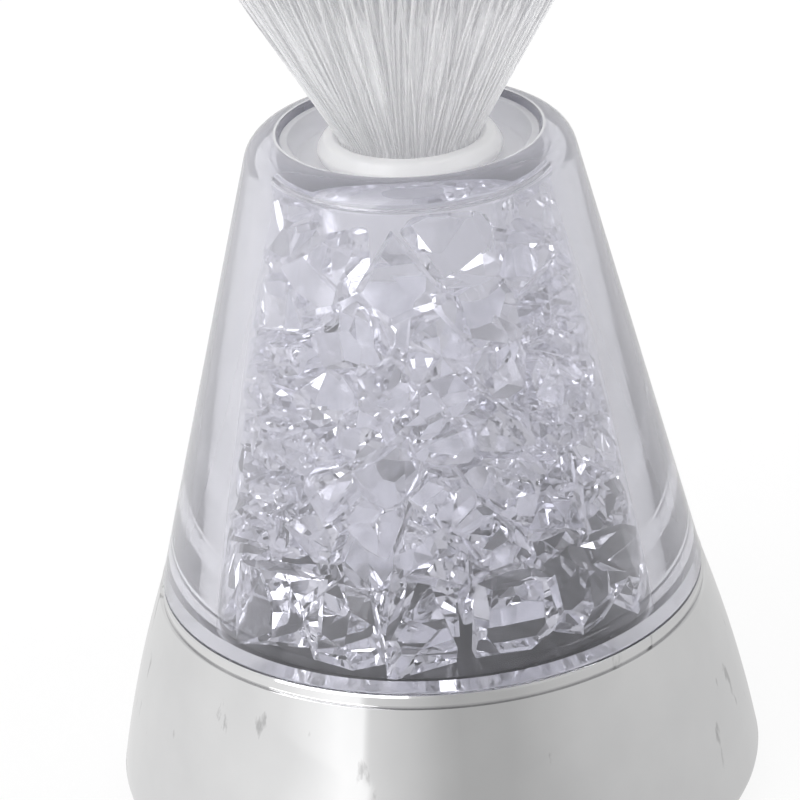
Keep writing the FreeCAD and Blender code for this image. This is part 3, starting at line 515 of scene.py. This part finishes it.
def makeVessel():
    v = vessel
    inner = v["footRadius"] - v["wallFoot"]
    innerTop = v["topRadius"] - v["wallTop"] + v["lean"]
    foot = v["foot"] + v["gap"]
    outline = roundedOutline([
        (v["footRadius"], foot, v["footEdge"]),
        (v["topRadius"], v["top"], v["shoulder"]),
        (v["mouth"], v["top"], v["mouthEdge"]),
        (v["mouth"], v["roof"], v["footEdge"]),
        (innerTop, v["roof"] - v["roofDrop"], v["roofEdge"]),
        (inner, foot),
        (inner, v["foot"] - v["spigot"], v["spigotEdge"]),
        (v["spigotOut"], v["foot"] - v["spigot"], v["spigotEdge"]),
        (v["spigotOut"], foot),
    ], v["arcSteps"])
    piece = turnOutline("vessel_shell", outline, v["turns"])
    smoothBy(piece, 32)
    dress(piece, vesselClear)
    piece.data.materials.append(vesselInner)  # second slot, for the wall's inside
    for face in piece.data.polygons:
        middle = face.center
        inward = face.normal.x * middle.x + face.normal.y * middle.y < 0
        if inward and middle.z < v["roof"] * millimetre:
            face.material_index = 1
    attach(piece, "base")
    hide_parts("crystal_vessel")


makeVessel()


# Dish in the vessel's mouth, and the collar that drops into it
dish = {
    "socket": 12.0, "bottom": 101.2, "floor": 103.0, "foot": 17.5, "rim": 106.0,
    "rimRadius": 19.0, "wall": 1.3, "slope": 0.2, "bead": 0.8, "edge": 0.3, "inside": 0.5,
    "crisp": 0.15, "arcSteps": 5, "turns": 128,
}
collar = {
    "inner": 10.4, "radius": 13.5, "bottom": 103.02, "widest": 104.4, "top": 106.5, "edge": 0.5,
    "slope": 1.0, "bead": 0.9, "shoulder": 0.4, "ledge": 0.7, "arcSteps": 5, "turns": 128,
}


def makeDish():
    v = dish
    outline = roundedOutline([
        (v["socket"], v["bottom"], v["crisp"]),
        (v["foot"], v["bottom"], v["bead"]),
        (v["rimRadius"], v["rim"], v["edge"]),
        (v["rimRadius"] - v["wall"], v["rim"], v["edge"]),
        (v["foot"] - v["wall"] + v["slope"], v["floor"], v["inside"]),
        (v["socket"], v["floor"], v["crisp"]),
    ], v["arcSteps"])
    piece = turnOutline("mouth_dish", outline, v["turns"])
    smoothBy(piece, 35)
    dress(piece, dishSatin)
    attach(piece, "base")
    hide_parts("recess_dish")


def makeCollar():
    v = collar
    outline = roundedOutline([
        (v["inner"], v["bottom"]),
        (v["radius"] - v["edge"], v["bottom"], v["edge"]),
        (v["radius"], v["widest"], v["bead"]),
        (v["radius"] - v["slope"], v["top"] - v["shoulder"], v["bead"]),
        (v["inner"] + v["ledge"], v["top"], v["edge"]),
        (v["inner"], v["top"] - v["edge"]),
    ], v["arcSteps"])
    piece = turnOutline("spray_collar", outline, v["turns"])
    smoothBy(piece, 50)
    dress(piece, milky)
    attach(piece, "spray")
    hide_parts("bundle_collar")


makeDish()
makeCollar()
print("vessel and collar ready")


# Crystals: each layer's own facets, chipped further and with the edges just taken off
crystals = {
    "layers": 4, "edge": 0.00010, "weld": 0.00001, "flat": 0.6, "sharp": 12,
    "chips": 7, "chipLow": 0.60, "chipHigh": 0.86, "seed": 3,
}


def chipCrystal(piece, chance):
    # Knocks corners off one crystal with cuts at random slants
    spots = [vertex.co.copy() for vertex in piece.data.vertices]
    middle = sum(spots, Vector()) / len(spots)
    pickOnly(piece)
    bpy.ops.object.mode_set(mode="EDIT")
    for chip in range(crystals["chips"]):
        slant = Vector((chance.gauss(0, 1), chance.gauss(0, 1), chance.gauss(0, 1))).normalized()
        reach = max((spot - middle).dot(slant) for spot in spots)
        depth = reach * chance.uniform(crystals["chipLow"], crystals["chipHigh"])
        bpy.ops.mesh.select_all(action="SELECT")
        bpy.ops.mesh.bisect(plane_co=middle + slant * depth, plane_no=slant,
                            use_fill=True, clear_outer=True)
    bpy.ops.object.mode_set(mode="OBJECT")


def makeCrystals():
    v = crystals
    chance = random.Random(v["seed"])
    for layer in range(1, v["layers"] + 1):
        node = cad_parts["crystals_layer_" + str(layer)]
        piece = node.copy()
        piece.data = node.data.copy()
        piece.parent = None
        piece.name = "crystal_pile_" + str(layer)
        scene.collection.objects.link(piece)
        pickOnly(piece)
        bpy.ops.object.mode_set(mode="EDIT")
        bpy.ops.mesh.select_all(action="SELECT")
        bpy.ops.mesh.remove_doubles(threshold=v["weld"])
        bpy.ops.mesh.dissolve_limited(angle_limit=math.radians(v["flat"]))
        bpy.ops.mesh.separate(type="LOOSE")
        bpy.ops.object.mode_set(mode="OBJECT")
        loose = list(bpy.context.selected_objects)
        for crystal in loose:
            chipCrystal(crystal, chance)
        clearSelection()
        for crystal in loose:
            crystal.select_set(True)
        bpy.context.view_layer.objects.active = piece
        bpy.ops.object.join()
        bevel = piece.modifiers.new("edges", "BEVEL")
        bevel.width = v["edge"]
        bevel.segments = 1
        bevel.limit_method = "ANGLE"
        bevel.angle_limit = math.radians(v["sharp"])
        bpy.ops.object.modifier_apply(modifier="edges")
        bpy.ops.object.shade_flat()
        dress(piece, crystalClear)
        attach(piece, "base")
        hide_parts("crystals_layer_" + str(layer))


makeCrystals()
print("crystals ready")


# Spray: thousands of thin fibres that leave the collar as a cone and bend outwards
spray = {
    "fibres": 4800, "thick": 0.000175, "rootRadius": 10.2, "rootHeight": 103.5, "collarTop": 106.5,
    "spread": 0.577, "straightEnd": 63.0, "reach": 221.0, "outerBend": 42.0, "stray": 4.5,
    "twist": 0.20, "twistRun": 45.0, "pieces": 4, "steps": 11, "stepGrowth": 1.25, "seed": 5,
    "leastBend": 0.03, "bendGrowth": 1.2, "bendLess": 0.06, "bendMore": 0.04,
    "shareStray": 0.012, "turnStray": 0.02, "shorter": 0.09,
}


def fibrePoints(share, azimuth, reach, chance):
    # Straight out of the collar along the cone, then a slow outward arc under its own weight
    v = spray
    angle = math.atan(v["spread"]) * share
    apex = v["collarTop"] - v["rootRadius"] / v["spread"]
    growth = v["leastBend"] + (1 - v["leastBend"]) * share ** v["bendGrowth"]
    bend = math.radians(v["outerBend"]) * growth
    bend *= 1 + chance.uniform(-v["bendLess"], v["bendMore"])
    outward = Vector((math.cos(azimuth), math.sin(azimuth), 0))
    side = Vector((-math.sin(azimuth), math.cos(azimuth), 0))
    sway = chance.uniform(-1, 1) * v["stray"]
    twist = chance.uniform(-1, 1) * v["twist"]
    lift = Vector((0, 0, 1))
    points = [outward * math.tan(angle) * (v["collarTop"] - apex) + lift * v["rootHeight"]]
    start = (v["collarTop"] - apex) / math.cos(angle)
    radius = (reach - v["straightEnd"]) / bend
    turn = outward * math.sin(angle) * v["straightEnd"]
    turn += lift * (apex + math.cos(angle) * v["straightEnd"])
    for step in range(v["steps"]):
        part = step / (v["steps"] - 1)
        along = start + (reach - start) * part ** v["stepGrowth"]
        if along < v["straightEnd"]:
            spot = outward * math.sin(angle) * along + lift * (apex + math.cos(angle) * along)
        else:
            now = angle + (along - v["straightEnd"]) / radius
            spot = turn + outward * radius * (math.cos(angle) - math.cos(now))
            spot += lift * radius * (math.sin(now) - math.sin(angle))
        points.append(spot + side * sway * part)
    turned = []
    for spot in points:
        rise = (spot.z - v["rootHeight"]) / v["twistRun"]
        turned.append(Matrix.Rotation(twist * max(0.0, 1 - rise), 3, "Z") @ spot)
    return [spot * millimetre for spot in turned]


def makeSpray():
    v = spray
    chance = random.Random(v["seed"])
    golden = math.pi * (3 - math.sqrt(5))
    for group in range(v["pieces"]):
        curve = bpy.data.curves.new("spray_fibres_" + str(group + 1), "CURVE")
        curve.dimensions = "3D"
        curve.bevel_depth = v["thick"]
        curve.bevel_resolution = 0
        curve.use_fill_caps = True
        for number in range(group, v["fibres"], v["pieces"]):
            share = math.sqrt((number + 0.5) / v["fibres"])
            share = min(1.0, share * (1 + chance.uniform(-v["shareStray"], v["shareStray"])))
            azimuth = number * golden + chance.uniform(-v["turnStray"], v["turnStray"])
            reach = v["reach"] * (1 - chance.uniform(0.0, v["shorter"]))
            points = fibrePoints(share, azimuth, reach, chance)
            line = curve.splines.new("POLY")
            line.points.add(len(points) - 1)
            for point, spot in zip(line.points, points):
                point.co = (*spot, 1)
        holder = bpy.data.objects.new(curve.name, curve)
        scene.collection.objects.link(holder)
        pickOnly(holder)
        bpy.ops.object.convert(target="MESH")
        piece = bpy.context.object
        piece.data.shade_smooth()
        dress(piece, fibreClear)
        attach(piece, "spray")
    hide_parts("fibres_inner", "fibres_middle", "fibres_outer")


packed = {
    "share": 0.94, "rootShare": 0.97, "bottom": 88.5, "neckDrop": 2.0, "lip": 0.3, "lipRise": 0.4,
    "shoulder": 130.0, "taper": 42.0, "turns": 96,
    "top": [(0.28, 1.05), (0.52, 1.0), (0.74, 0.8), (0.90, 0.48), (1.0, 0.0)],
}


def makePackedCore():
    # The bundle's heart, just inside the outermost fibres; its top sinks slowly under them
    v = packed
    rise = v["shoulder"] - spray["collarTop"]
    low = spray["rootRadius"] * v["rootShare"]
    high = (spray["rootRadius"] + rise * spray["spread"]) * v["share"]
    outline = [
        (0.0, v["bottom"]), (low, v["bottom"]), (low, spray["collarTop"] - v["neckDrop"]),
        (spray["rootRadius"] * v["share"] + v["lip"], spray["collarTop"] + v["lipRise"]),
        (high, v["shoulder"]),
    ]
    for climb, width in v["top"]:
        outline.append((high * width, v["shoulder"] + v["taper"] * climb))
    spots = [Vector((spot[0], 0, spot[1])) * millimetre for spot in outline]
    piece = turnOutline("packed_fibres", spots, v["turns"], closed=False)
    smoothBy(piece, 40)
    dress(piece, fibreCore)
    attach(piece, "spray")
    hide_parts("fibre_bundle")


makeSpray()
makePackedCore()
print("spray ready")


# The rest of the model keeps its shapes and gets its finishes
nodeFinish = {
    "bottom_cover": coverPlastic, "battery_door": coverPlastic, "circuit_board": boardGreen,
    "light_cup": cupWhite, "control_chip": chipResin, "switch_body": chipResin,
    "switch_slider": coverPlastic, "lead_switch_board": leadSleeve,
    "lead_battery_board": leadSleeve, "lead_battery_switch": leadSleeve,
    "floor_plate": plateBlack, "light_tube": tubeClear, "bundle_ferrule": ferruleMilk,
}
for number in range(1, 7):
    nodeFinish["rubber_foot_" + str(number)] = footRubber
for number in range(1, 4):
    nodeFinish["cover_screw_" + str(number)] = screwSteel
    nodeFinish["board_screw_" + str(number)] = screwSteel
    nodeFinish["battery_" + str(number)] = cellJacket
    nodeFinish["battery_spring_" + str(number)] = contactMetal
    nodeFinish["battery_contact_" + str(number)] = contactMetal
for number in range(1, 5):
    nodeFinish["light_" + str(number)] = lensClear
for node, material in nodeFinish.items():
    dressNode(node, material)


# Studio: white floor, an even sky that is greyer to the right, and soft lamps
studio = {
    "skyShade": 0.8, "skyDiffuse": 0.85, "floorSize": 6.0, "floorMix": 0.86, "floorShade": 0.9,
    "floorTurn": 0.9, "aimHeight": 0.08,
    "mirrorStops": [(-180, 0.77), (-90, 0.81), (-62, 0.87), (-49, 1.02), (-39, 1.17), (-29.5, 1.15),
                    (-27.5, 0.79), (-11, 0.64), (0, 0.50), (7, 0.45), (26, 0.45), (55, 0.58),
                    (90, 0.62), (140, 0.66), (180, 0.74)],
    "clearStops": [(-180, 0.82), (-110, 0.86), (-60, 0.82), (-10, 0.70), (50, 0.60), (110, 0.62),
                   (150, 0.72), (180, 0.82)],
}
lamps = [
    {"name": "keySoftbox", "place": (-0.9, -0.7, 1.1), "size": 1.15, "power": 11.0, "mirrored": True},
    {"name": "topSoftbox", "place": (0.1, 0.3, 1.4), "size": 1.2, "power": 9.0, "mirrored": True},
    {"name": "rightCard", "place": (1.0, -0.3, 0.6), "size": 0.5, "power": 2.5, "mirrored": False},
]


def azimuthShade(tree, vector, stops):
    # Each stop is an angle round the lamp, 0 towards the front, and a brightness
    split = tree.nodes.new("ShaderNodeSeparateXYZ")
    tree.links.new(vector, split.inputs["Vector"])
    towardsFront = compute(tree, "MULTIPLY", split.outputs["Y"], -1.0)
    angle = compute(tree, "ARCTAN2", split.outputs["X"], towardsFront)
    ramp = tree.nodes.new("ShaderNodeValToRGB")
    elements = ramp.color_ramp.elements
    for degrees, value in stops[1:-1]:
        elements.new(0.5 + degrees / 360)
    for element, (degrees, value) in zip(elements, stops):
        element.color = (value, value, value, 1)
    tree.links.new(spreadTo(tree, angle, -math.pi, math.pi, 0.0, 1.0), ramp.inputs["Fac"])
    return ramp.outputs["Color"]


def throughOrSeen(tree, path):
    # Light that has been through the clear parts meets the same white as the camera
    seen = compute(tree, "MAXIMUM", path.outputs["Is Camera Ray"], path.outputs["Is Transmission Ray"])
    through = compute(tree, "GREATER_THAN", path.outputs["Transmission Depth"], 0.5)
    return compute(tree, "MAXIMUM", seen, through)


def mixShaders(tree, share, first, second):
    mixed = tree.nodes.new("ShaderNodeMixShader")
    tree.links.new(share, mixed.inputs["Fac"])
    tree.links.new(first, mixed.inputs[1])
    tree.links.new(second, mixed.inputs[2])
    return mixed.outputs[0]


def background(tree, colour, strength=1.0):
    sky = tree.nodes.new("ShaderNodeBackground")
    sky.inputs["Strength"].default_value = strength
    feed(tree, sky.inputs["Color"], colour)
    return sky.outputs[0]


def makeWorld():
    world = bpy.data.worlds.new("studio")
    scene.world = world
    world.use_nodes = True
    tree = world.node_tree
    tree.nodes.clear()
    around = tree.nodes.new("ShaderNodeTexCoord").outputs["Generated"]
    path = tree.nodes.new("ShaderNodeLightPath")
    shade = studio["skyShade"]
    plain = background(tree, (shade, shade, shade, 1), studio["skyDiffuse"])
    mirror = background(tree, azimuthShade(tree, around, studio["mirrorStops"]))
    through = background(tree, azimuthShade(tree, around, studio["clearStops"]))
    white = background(tree, (1, 1, 1, 1))
    result = mixShaders(tree, path.outputs["Is Glossy Ray"], plain, mirror)
    result = mixShaders(tree, throughOrSeen(tree, path), result, through)
    result = mixShaders(tree, path.outputs["Is Camera Ray"], result, white)
    output = tree.nodes.new("ShaderNodeOutputWorld")
    tree.links.new(result, output.inputs["Surface"])


def floorStops(stops):
    # The floor is met near the lamp, so its shades turn a little less than the sky's
    turned = [(degrees * studio["floorTurn"], value) for degrees, value in stops[1:-1]]
    return [stops[0], *turned, stops[-1]]


def makeFloor():
    clearSelection()
    bpy.ops.mesh.primitive_plane_add(size=studio["floorSize"], location=(0, 0, 0))
    floor = bpy.context.object
    floor.name = "studio_floor"
    material = bpy.data.materials.new("studioFloor")
    material.use_nodes = True
    tree = material.node_tree
    tree.nodes.clear()
    around = tree.nodes.new("ShaderNodeTexCoord").outputs["Object"]
    path = tree.nodes.new("ShaderNodeLightPath")
    shade = studio["floorShade"]
    matt = tree.nodes.new("ShaderNodeBsdfDiffuse")
    matt.inputs["Color"].default_value = (shade, shade, shade, 1)
    mirror = tree.nodes.new("ShaderNodeEmission")
    feed(tree, mirror.inputs["Color"], azimuthShade(tree, around, floorStops(studio["mirrorStops"])))
    seenColour = tree.nodes.new("ShaderNodeMix")
    seenColour.data_type = "RGBA"
    seenColour.inputs["B"].default_value = (1, 1, 1, 1)
    feed(tree, seenColour.inputs["Factor"], path.outputs["Is Camera Ray"])
    feed(tree, seenColour.inputs["A"], azimuthShade(tree, around, floorStops(studio["clearStops"])))
    glow = tree.nodes.new("ShaderNodeEmission")
    tree.links.new(seenColour.outputs["Result"], glow.inputs["Color"])
    share = compute(tree, "MULTIPLY", throughOrSeen(tree, path), studio["floorMix"])
    result = mixShaders(tree, path.outputs["Is Glossy Ray"], matt.outputs[0], mirror.outputs[0])
    result = mixShaders(tree, share, result, glow.outputs[0])
    output = tree.nodes.new("ShaderNodeOutputMaterial")
    tree.links.new(result, output.inputs["Surface"])
    dress(floor, material)


def makeLamps():
    aim = Vector((0, 0, studio["aimHeight"]))
    for lamp in lamps:
        data = bpy.data.lights.new(lamp["name"], "AREA")
        data.shape = "SQUARE"
        data.size = lamp["size"]
        data.energy = lamp["power"]
        holder = bpy.data.objects.new(lamp["name"], data)
        scene.collection.objects.link(holder)
        place = Vector(lamp["place"])
        holder.location = place
        holder.visible_glossy = lamp["mirrored"]
        holder.rotation_euler = (aim - place).to_track_quat("-Z", "Y").to_euler()


makeWorld()
makeFloor()
makeLamps()
scene.view_settings.view_transform = "Standard"
scene.cycles.max_bounces = 40  # light crosses many clear walls before it leaves the pile
scene.cycles.transmission_bounces = 36
scene.cycles.glossy_bounces = 12
print("studio ready")
